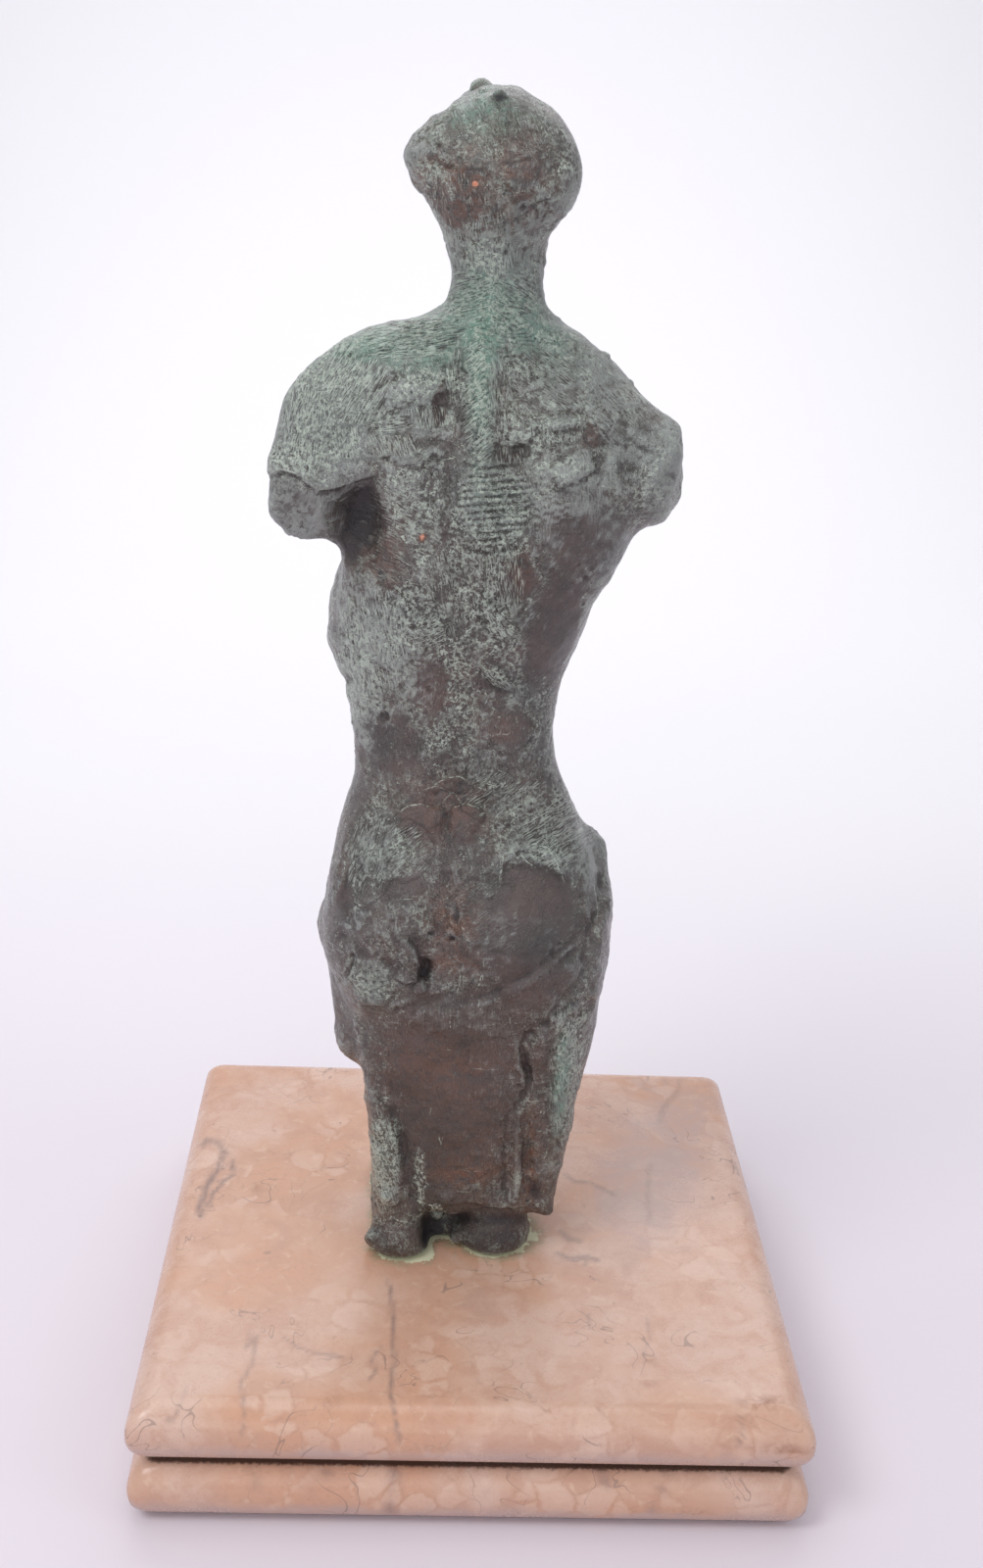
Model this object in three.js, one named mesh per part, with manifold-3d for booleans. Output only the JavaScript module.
// A bronze figure of a draped woman without arms, standing on a plinth of two bullnosed marble slabs.
// Millimetres, +Z up. The figure faces +Y, and the origin is the middle of the plinth's underside.
import * as THREE from 'three';
import { mergeVertices } from 'three/addons/utils/BufferGeometryUtils.js';
import Module from 'manifold-3d';

const wasm = await Module();
wasm.setup();

// Plinth
const plinthSide = 300;
const slabThickness = 30;
const slabEdgeFlat = 2;
const slabCornerRadius = 5;
const slabCurveSteps = 6;
const slabCornerSteps = 5;
const joint = 0.5;

// Figure: heights are above the plinth's top
const figureHeight = 532;
const footGap = 0.3;
const hemHeight = 22;
const neckJoin = 470;

// Widths of the fillets where one form runs into another
const fillet = { breast: 20, stump: 13, brokenRim: 6, armpit: 4, fold: 9, furrow: 5, clothEdge: 24 };
const headFillet = { face: 10, hair: 12, eye: 5, nose: 5, chin: 8, neck: 8 };
const footFillet = { heel: 5, hem: 3 };

// The net that the figure's surface is drawn on: its middle and reach across, how far it runs below the
// ground and above the head, and how far apart its points are at some heights.
const netMiddle = [-12, 0];
const netReach = [100, 68];
const netBelow = 34;
const netAbove = 12;
const netCells = [
  { z: 25, across: 6, up: 5.2 },
  { z: 60, across: 6.6, up: 9 },
  { z: 150, across: 7, up: 9.5 },
  { z: 215, across: 8.8, up: 9.8 },
  { z: 330, across: 9, up: 9.8 },
  { z: 425, across: 7.4, up: 8 },
  { z: 455, across: 4.8, up: 4.8 },
];

// The trunk and the wrapped legs, from the hem to the neck: how far each level reaches to the figure's
// left (-X), to its right (+X), to the back (-Y) and to the front (+Y), and how square its section is.
const trunk = [
  { at: 'below the hem', z: 0, left: -38, right: 31, back: -32, front: 31, square: 2.6 },
  { at: 'shin', z: 40, left: -44, right: 37, back: -34, front: 32, square: 2.7 },
  { at: 'knee', z: 85, left: -49, right: 44, back: -37, front: 34, square: 2.6 },
  { at: 'thigh', z: 125, left: -61, right: 52, back: -42, front: 38, square: 2.4 },
  { at: 'hip', z: 168, left: -74, right: 56, back: -49, front: 42, square: 2.2 },
  { at: 'hip crest', z: 204, left: -70, right: 48, back: -43, front: 42, square: 2.2 },
  { at: 'waist', z: 246, left: -62, right: 30, back: -32, front: 32, square: 2.2 },
  { at: 'lower ribs', z: 285, left: -67, right: 29, back: -33, front: 31, square: 2.2 },
  { at: 'chest', z: 320, left: -69, right: 40, back: -39, front: 32, square: 2.3 },
  { at: 'armpit', z: 350, left: -70, right: 54, back: -42, front: 31, square: 2.4 },
  { at: 'shoulder blades', z: 375, left: -75, right: 60, back: -42, front: 29, square: 2.3 },
  { at: 'shoulder', z: 400, left: -82, right: 60, back: -38, front: 25, square: 2.2 },
  { at: 'shoulder top', z: 420, left: -80, right: 49, back: -31, front: 20, square: 2.1 },
  { at: 'collar', z: 434, left: -65, right: 33, back: -25, front: 17, square: 2.0 },
  { at: 'neck base', z: 444, left: -32, right: 17, back: -21, front: 16, square: 2.0 },
  { at: 'neck', z: 455, left: -23, right: 10, back: -18, front: 17, square: 2.0 },
  { at: 'nape', z: 480, left: -25, right: 11, back: -15, front: 21, square: 2.0 },
];

// Value of one size of the trunk at a height, on a smooth curve through the levels.
function trunkSize(key, z) {
  const last = trunk.length - 1;
  if (z <= trunk[0].z) return trunk[0][key];
  if (z >= trunk[last].z) return trunk[last][key];
  const i = trunk.findIndex((level, n) => n < last && z < trunk[n + 1].z);
  const slope = (n) => {
    const a = trunk[Math.max(n - 1, 0)];
    const b = trunk[Math.min(n + 1, last)];
    return (b[key] - a[key]) / (b.z - a.z);
  };
  const span = trunk[i + 1].z - trunk[i].z;
  const t = (z - trunk[i].z) / span;
  const rise = trunk[i + 1][key] - trunk[i][key];
  const ease = t * t * (3 - 2 * t);
  const start = t * (1 - t) * (1 - t) * span * slope(i);
  const end = t * t * (t - 1) * span * slope(i + 1);
  return trunk[i][key] + rise * ease + start + end;
}

// Signed distances, negative inside. A point is [x, y, z].
function ellipsoid([x, y, z], [cx, cy, cz], [rx, ry, rz]) {
  const [u, v, w] = [(x - cx) / rx, (y - cy) / ry, (z - cz) / rz];
  const reach = Math.hypot(u, v, w);
  return (reach * (reach - 1)) / Math.max(Math.hypot(u / rx, v / ry, w / rz), 1e-9);
}

function limb([x, y, z], [ax, ay, az], [bx, by, bz], startRadius, endRadius) {
  const [dx, dy, dz] = [bx - ax, by - ay, bz - az];
  const along = ((x - ax) * dx + (y - ay) * dy + (z - az) * dz) / (dx * dx + dy * dy + dz * dz);
  const t = Math.min(Math.max(along, 0), 1);
  const away = Math.hypot(x - ax - t * dx, y - ay - t * dy, z - az - t * dz);
  return away - startRadius - t * (endRadius - startRadius);
}

// Joins two distances with a fillet about as wide as soft.
function join(a, b, soft) {
  const h = Math.max(soft - Math.abs(a - b), 0) / soft;
  return Math.min(a, b) - (h * h * soft) / 4;
}

function carve(a, b, soft) {
  return -join(-a, b, soft);
}

// Sum of rounded swellings, or with a negative height hollows, seen from the back or the front.
function swell(forms, x, z) {
  return forms.reduce((sum, { at: [cx, cz], reach: [wide, tall], height, lean = 0 }) => {
    const u = (x - cx - lean * (z - cz)) / wide;
    const w = (z - cz) / tall;
    return sum + height * Math.exp(-(u * u) - w * w);
  }, 0);
}

function trunkDistance([x, y, z]) {
  const left = trunkSize('left', z);
  const right = trunkSize('right', z);
  const back = trunkSize('back', z);
  const front = trunkSize('front', z);
  const square = trunkSize('square', z);
  const u = (x - (left + right) / 2) / ((right - left) / 2);
  const middle = (back + front) / 2;
  const v = (y - middle) / ((front - back) / 2);
  const reach = Math.pow(Math.pow(Math.abs(u), square) + Math.pow(Math.abs(v), square), 1 / square);
  const away = Math.hypot(x - (left + right) / 2, y - middle);
  return reach < 1e-6 ? (left - right) / 4 : away * (1 - 1 / reach);
}

const smoothstep = THREE.MathUtils.smoothstep;

// Line of the spine: it runs down from the neck and swings to the figure's left at the waist.
function spineX(z) {
  return -7 - 11 * Math.sin((Math.PI * THREE.MathUtils.clamp(440 - z, 0, 400)) / 400);
}

// Upper edge of the cloth at the back: it hangs from both hips and is lowest right of the middle.
function clothEdgeBack(x) {
  const fromLeft = 150 - 0.34 * (x + 40);
  const fromRight = 137 + 1.02 * (x - 8);
  return -join(-fromLeft, -fromRight, fillet.clothEdge);
}

// Upper edge of the cloth in front: it falls from the right hip to the left one.
function clothEdgeFront(x) {
  return 186 + 0.3 * x;
}

// The cloth stands proud of the body below its upper edge, and in front the edge is rolled.
function clothForms([x, y, z]) {
  const toFront = smoothstep(y, -15, 15);
  const edge = THREE.MathUtils.lerp(clothEdgeBack(x), clothEdgeFront(x), toFront);
  const roll = (1 + 4 * toFront) * Math.exp(-(((z - edge + 3) / 11) ** 2));
  return 3.5 * (1 - smoothstep(z, edge - 9, edge + 7)) + roll;
}

const backSwellings = [
  { name: 'left shoulder blade', at: [-54, 390], reach: [22, 26], height: 4 },
  { name: 'right shoulder blade', at: [32, 378], reach: [22, 28], height: 4 },
  { name: 'left buttock', at: [-48, 186], reach: [25, 28], height: 8 },
  { name: 'right buttock', at: [17, 184], reach: [32, 34], height: 8 },
  { name: 'cleft', at: [-19, 184], reach: [8, 26], height: -5, lean: -0.2 },
  { name: 'hollow under the cleft', at: [-28, 162], reach: [9, 10], height: -5 },
  { name: 'dip of the back panel', at: [-8, 118], reach: [30, 20], height: -2 },
];
const frontSwellings = [
  { name: 'belly', at: [-16, 212], reach: [32, 28], height: 6 },
  { name: 'navel', at: [-16, 234], reach: [5, 5], height: -3 },
  { name: 'hollow between the breasts', at: [-15, 322], reach: [7, 36], height: -4 },
  { name: 'knee', at: [-24, 92], reach: [17, 42], height: 6 },
  { name: 'left collar bone', at: [-62, 428], reach: [26, 5], height: 3 },
  { name: 'right collar bone', at: [24, 428], reach: [26, 5], height: 3 },
];

// The spine is a ridge between two hollows at the shoulders, and a furrow at the waist.
function spineForms(x, z) {
  const fromSpine = x - spineX(z);
  const ridge = 3.5 * Math.exp(-((fromSpine / 7) ** 2));
  const besideRidge = 3 * Math.exp(-(((Math.abs(fromSpine) - 17) / 8) ** 2));
  const furrow = 2.5 * Math.exp(-((fromSpine / 8) ** 2));
  const atShoulders = smoothstep(z, 345, 375) * (1 - smoothstep(z, 425, 445));
  const atWaist = smoothstep(z, 215, 250) * (1 - smoothstep(z, 330, 370));
  return atShoulders * (ridge - besideRidge) - atWaist * furrow;
}

const breasts = [
  { at: [-51, 19, 308], reach: [24, 24, 32] },
  { at: [15, 21, 315], reach: [22, 23, 31] },
];

function bodyDistance(p) {
  const [x, y, z] = p;
  const behind = smoothstep(-y, 4, 26) * (spineForms(x, z) + swell(backSwellings, x, z));
  const before = smoothstep(y, 4, 26) * swell(frontSwellings, x, z);
  let d = trunkDistance(p) - behind - before - clothForms(p);
  for (const { at, reach } of breasts) d = join(d, ellipsoid(p, at, reach), fillet.breast);
  return d;
}

// The arms are broken off below the shoulders. Each stump is a limb, cut by a plane whose rim is rounded.
const stumps = [
  {
    from: [-74, -8, 398],
    to: [-84.5, -12, 363],
    radius: [22, 16.5],
    cut: [-86, -24, 362],
    facing: [-0.15, -0.8, -0.58],
  },
  {
    from: [38, -8, 394],
    to: [86, -12, 375],
    radius: [20, 23],
    cut: [72, -12, 380],
    facing: [0.99, -0.08, -0.08],
  },
];
const leftArmpit = { at: [-62, -38, 356], reach: [11, 20, 20] };

function stumpDistance(p, { from, to, radius, cut, facing }) {
  const beyond = facing.reduce((sum, v, axis) => sum + v * (p[axis] - cut[axis]), 0);
  return carve(limb(p, from, to, ...radius), -beyond, fillet.brokenRim);
}

// Rolls of the cloth: its rolled upper edge, its hanging end on the left, and the folds down both sides.
const clothRolls = [
  { name: 'rolled edge at the right hip', from: [44, 17, 197], to: [38, 26, 190], radius: [13, 11] },
  { name: 'hanging end', from: [-61, 8, 156], to: [-58, -3, 101], radius: [12, 11] },
  { name: 'right hip', from: [47, 6, 180], to: [41, -6, 112], radius: [11, 13] },
  { name: 'right roll, back', from: [40, -17, 112], to: [28, -26, 26], radius: [12, 10] },
  { name: 'left roll, back', from: [-49, -20, 112], to: [-35, -27, 26], radius: [6, 9] },
  { name: 'first front fold', from: [44, 20, 184], to: [29, 22, 26], radius: [9, 11] },
  { name: 'second front fold', from: [28, 29, 182], to: [13, 31, 26], radius: [9, 10] },
  { name: 'third front fold', from: [7, 33, 176], to: [-6, 33, 26], radius: [9, 10] },
  { name: 'fourth front fold', from: [-15, 29, 140], to: [-23, 31, 26], radius: [9, 10] },
  { name: 'fifth front fold', from: [-47, 24, 158], to: [-36, 25, 26], radius: [9, 9] },
];

// Hollows between the back panel and the rolls on its two sides.
const clothFurrows = [
  { name: 'right, upper', from: [30, -64, 136], to: [22, -50, 100], radius: [9, 11] },
  { name: 'right, lower', from: [22, -50, 100], to: [21, -42, 20], radius: [11, 8] },
  { name: 'left', from: [-47, -49, 108], to: [-27, -41, 20], radius: [5, 6] },
];

function clothDistance(p, body) {
  let d = body;
  for (const { from, to, radius } of clothRolls) d = join(d, limb(p, from, to, ...radius), fillet.fold);
  for (const { from, to, radius } of clothFurrows) d = carve(d, limb(p, from, to, ...radius), fillet.furrow);
  return d;
}

const feet = [
  { ankle: [-33, -24, 28], heel: [-34, -27, 5], toes: [-37, 40, -3], radius: [13, 14, 14] },
  { ankle: [10, -18, 28], heel: [11, -18, 5], toes: [15, 46, -3], radius: [18, 18, 14] },
];

// Rough bronze left between the feet under the cloth
const groundLump = { at: [-10, 2, 4], reach: [26, 24, 24] };

function feetDistance(p) {
  const shapes = feet.map(({ ankle, heel, toes, radius: [atAnkle, atHeel, atToes] }) =>
    join(limb(p, ankle, heel, atAnkle, atHeel), limb(p, heel, toes, atHeel, atToes), footFillet.heel),
  );
  return Math.min(...shapes, ellipsoid(p, groundLump.at, groundLump.reach));
}

// Head: skull and jaw, with the hair drawn into a knot at the left and fuller at the right and the nape.
const eyeLine = 498;
const faceMiddle = -9;

function headDistance(p) {
  const skull = ellipsoid(p, [faceMiddle, 3, 504], [26, 31, 28]);
  const jaw = ellipsoid(p, [faceMiddle, 15, 485], [18, 19, 22]);
  const throat = limb(p, [-7, 0, 444], [-8, 3, 486], 16, 18);
  const nape = limb(p, [-11, -3, 494], [-8, -1, 458], 27, 15);
  const knot = ellipsoid(p, [-31, -5, 504], [14, 15, 14]);
  const fullness = ellipsoid(p, [8, -7, 499], [16, 20, 19]);
  let d = join(join(skull, jaw, headFillet.face), join(throat, nape, headFillet.neck), headFillet.face);
  for (const hair of [knot, fullness]) d = join(d, hair, headFillet.hair);
  for (const side of [-1, 1]) {
    const eye = ellipsoid(p, [faceMiddle + 11 * side, 36, eyeLine], [7, 5, 4]);
    d = carve(d, eye, headFillet.eye);
  }
  const nose = limb(p, [faceMiddle, 31, eyeLine], [faceMiddle, 33.5, eyeLine - 14], 3, 4);
  const chin = ellipsoid(p, [faceMiddle, 27, eyeLine - 30], [9, 6, 5]);
  return join(join(d, nose, headFillet.nose), chin, headFillet.chin);
}

function figureDistance(p) {
  const z = p[2];
  let d = bodyDistance(p);
  for (const stump of stumps) d = join(d, stumpDistance(p, stump), fillet.stump);
  d = carve(d, ellipsoid(p, leftArmpit.at, leftArmpit.reach), fillet.armpit);
  d = clothDistance(p, d);
  d = Math.max(d, z - neckJoin, hemHeight - z);
  d = join(d, feetDistance(p), footFillet.hem);
  return join(d, headDistance(p), headFillet.neck);
}

// Spacing of the net's points at a height.
function cellAt(z, way) {
  const upper = netCells.findIndex((cell) => cell.z > z);
  if (upper === 0) return netCells[0][way];
  if (upper < 0) return netCells[netCells.length - 1][way];
  const [below, above] = [netCells[upper - 1], netCells[upper]];
  return THREE.MathUtils.mapLinear(z, below.z, above.z, below[way], above[way]);
}

function gradient(distance, [x, y, z]) {
  const e = 0.2;
  return [
    (distance([x + e, y, z]) - distance([x - e, y, z])) / (2 * e),
    (distance([x, y + e, z]) - distance([x, y - e, z])) / (2 * e),
    (distance([x, y, z + e]) - distance([x, y, z - e])) / (2 * e),
  ];
}

// A point drawn towards the surface by at most a short step.
const drawRounds = 3;
const longestStep = 1.5;
const leastSlope = 0.2;

function drawn(distance, p) {
  const g = gradient(distance, p);
  const slope = Math.max(g[0] ** 2 + g[1] ** 2 + g[2] ** 2, leastSlope);
  const step = THREE.MathUtils.clamp(distance(p) / slope, -longestStep, longestStep);
  return p.map((v, axis) => v - step * g[axis]);
}

// Draws a net over the surface where the distance is zero: one point in each cell that the surface crosses,
// drawn onto the surface, and one face across each grid line that it crosses.
function netSolid(distance, [middleX, middleY], [reachX, reachY], [low, high]) {
  const levels = [];
  for (let z = low; z < high; z += cellAt(z, 'up')) levels.push(z);
  const finest = Math.min(...netCells.map((cell) => cell.across));
  const countX = 2 * Math.ceil(reachX / finest) + 1;
  const countY = 2 * Math.ceil(reachY / finest) + 1;
  const place = (i, j, k) => [
    middleX + (i - (countX - 1) / 2) * cellAt(levels[k], 'across'),
    middleY + (j - (countY - 1) / 2) * cellAt(levels[k], 'across'),
    levels[k],
  ];
  const index = (i, j, k) => i + countX * (j + countY * k);
  const values = new Float64Array(countX * countY * levels.length);
  for (let k = 0; k < levels.length; k++)
    for (let j = 0; j < countY; j++)
      for (let i = 0; i < countX; i++) values[index(i, j, k)] = distance(place(i, j, k));

  const corners = [0, 1, 2, 3, 4, 5, 6, 7].map((n) => [n & 1, (n >> 1) & 1, n >> 2]);
  const edges = corners.flatMap((a, m) =>
    corners.flatMap((b, n) => (n > m && a.filter((v, axis) => v !== b[axis]).length === 1 ? [[a, b]] : [])),
  );
  const points = [];
  const pointOf = new Map();
  for (let k = 0; k < levels.length - 1; k++)
    for (let j = 0; j < countY - 1; j++)
      for (let i = 0; i < countX - 1; i++) {
        const crossings = edges.flatMap(([a, b]) => {
          const from = [i + a[0], j + a[1], k + a[2]];
          const to = [i + b[0], j + b[1], k + b[2]];
          const start = values[index(...from)];
          const end = values[index(...to)];
          if (start < 0 === end < 0) return [];
          const t = start / (start - end);
          const [p, q] = [place(...from), place(...to)];
          return [p.map((v, axis) => v + t * (q[axis] - v))];
        });
        if (!crossings.length) continue;
        let p = [0, 1, 2].map((axis) => crossings.reduce((sum, c) => sum + c[axis], 0) / crossings.length);
        for (let round = 0; round < drawRounds; round++) p = drawn(distance, p);
        pointOf.set(index(i, j, k), points.length);
        points.push(p);
      }

  const triangles = [];
  const steps = [[1, 0, 0], [0, 1, 0], [0, 0, 1]];
  const face = (a, b, c, d) => {
    const gap = (m, n) => Math.hypot(...points[m].map((v, axis) => v - points[n][axis]));
    if (gap(a, c) <= gap(b, d)) triangles.push(a, b, c, a, c, d);
    else triangles.push(a, b, d, b, c, d);
  };
  for (let k = 1; k < levels.length - 1; k++)
    for (let j = 1; j < countY - 1; j++)
      for (let i = 1; i < countX - 1; i++)
        for (let axis = 0; axis < 3; axis++) {
          const start = values[index(i, j, k)] < 0;
          const end = values[index(i + steps[axis][0], j + steps[axis][1], k + steps[axis][2])] < 0;
          if (start === end) continue;
          const [u, v] = [steps[(axis + 1) % 3], steps[(axis + 2) % 3]];
          const cell = (m, n) =>
            pointOf.get(index(i - m * u[0] - n * v[0], j - m * u[1] - n * v[1], k - m * u[2] - n * v[2]));
          const around = [cell(1, 1), cell(0, 1), cell(0, 0), cell(1, 0)];
          face(...(start ? around : around.reverse()));
        }
  return new wasm.Manifold(
    new wasm.Mesh({
      numProp: 3,
      vertProperties: new Float32Array(points.flat()),
      triVerts: new Uint32Array(triangles),
    }),
  );
}

// A three.js geometry, placed, as a solid to cut or join with.
function solidFrom(geometry) {
  const bare = geometry.clone().deleteAttribute('normal').deleteAttribute('uv');
  const merged = mergeVertices(bare, 1e-4);
  return new wasm.Manifold(
    new wasm.Mesh({
      numProp: 3,
      vertProperties: merged.attributes.position.array,
      triVerts: new Uint32Array(merged.index.array),
    }),
  );
}

function geometryFrom(solid) {
  const mesh = solid.getMesh();
  const geometry = new THREE.BufferGeometry();
  geometry.setAttribute('position', new THREE.BufferAttribute(mesh.vertProperties, 3));
  geometry.setIndex(new THREE.BufferAttribute(mesh.triVerts, 1));
  geometry.computeVertexNormals();
  return geometry;
}

function makeFigure() {
  const whole = netSolid(figureDistance, netMiddle, netReach, [-netBelow, figureHeight + netAbove]);
  const deep = 4 * netBelow;
  const ground = solidFrom(new THREE.BoxGeometry(plinthSide, plinthSide, deep).translate(0, 0, -deep / 2));
  return geometryFrom(whole.subtract(ground));
}

// A slab whose four edges are rounded to a bullnose, mitred at the corners, with the corners' tips eased.
function makeSlab() {
  const nose = (slabThickness - slabEdgeFlat) / 2;
  const half = plinthSide / 2;
  const square = (reach) =>
    new THREE.Shape([
      new THREE.Vector2(-reach, -reach),
      new THREE.Vector2(reach, -reach),
      new THREE.Vector2(reach, reach),
      new THREE.Vector2(-reach, reach),
    ]);
  const slab = new THREE.ExtrudeGeometry(square(half - nose), {
    depth: slabEdgeFlat,
    bevelThickness: nose,
    bevelSize: nose,
    bevelSegments: slabCurveSteps,
  }).translate(0, 0, nose);
  const eased = new THREE.Shape();
  const start = half - slabCornerRadius;
  [0, 1, 2, 3].forEach((quarter) => {
    const angle = (quarter * Math.PI) / 2;
    const [sx, sy] = [[1, 1], [-1, 1], [-1, -1], [1, -1]][quarter];
    eased.absarc(sx * start, sy * start, slabCornerRadius, angle, angle + Math.PI / 2, false);
  });
  const post = new THREE.ExtrudeGeometry(eased, {
    depth: 2 * slabThickness,
    bevelEnabled: false,
    curveSegments: slabCornerSteps,
  }).translate(0, 0, -slabThickness / 2);
  return geometryFrom(solidFrom(slab).intersect(solidFrom(post)));
}

const bronze = new THREE.MeshStandardMaterial({ color: 0x4a4f47, roughness: 0.5, metalness: 0.7 });
const marble = new THREE.MeshStandardMaterial({ color: 0xc9a28c, roughness: 0.25, metalness: 0 });

function named(name, geometry, material, [x, y, z]) {
  const mesh = new THREE.Mesh(geometry, material);
  mesh.name = name;
  mesh.position.set(x, y, z);
  return mesh;
}

const sculpture = new THREE.Group();
const slabPitch = slabThickness + joint;
sculpture.add(
  named('plinth_lower_slab', makeSlab(), marble, [0, 0, 0]),
  named('plinth_upper_slab', makeSlab(), marble, [0, 0, slabPitch]),
  named('bronze_figure', makeFigure(), bronze, [0, 0, slabPitch + slabThickness + footGap]),
);

export default sculpture;
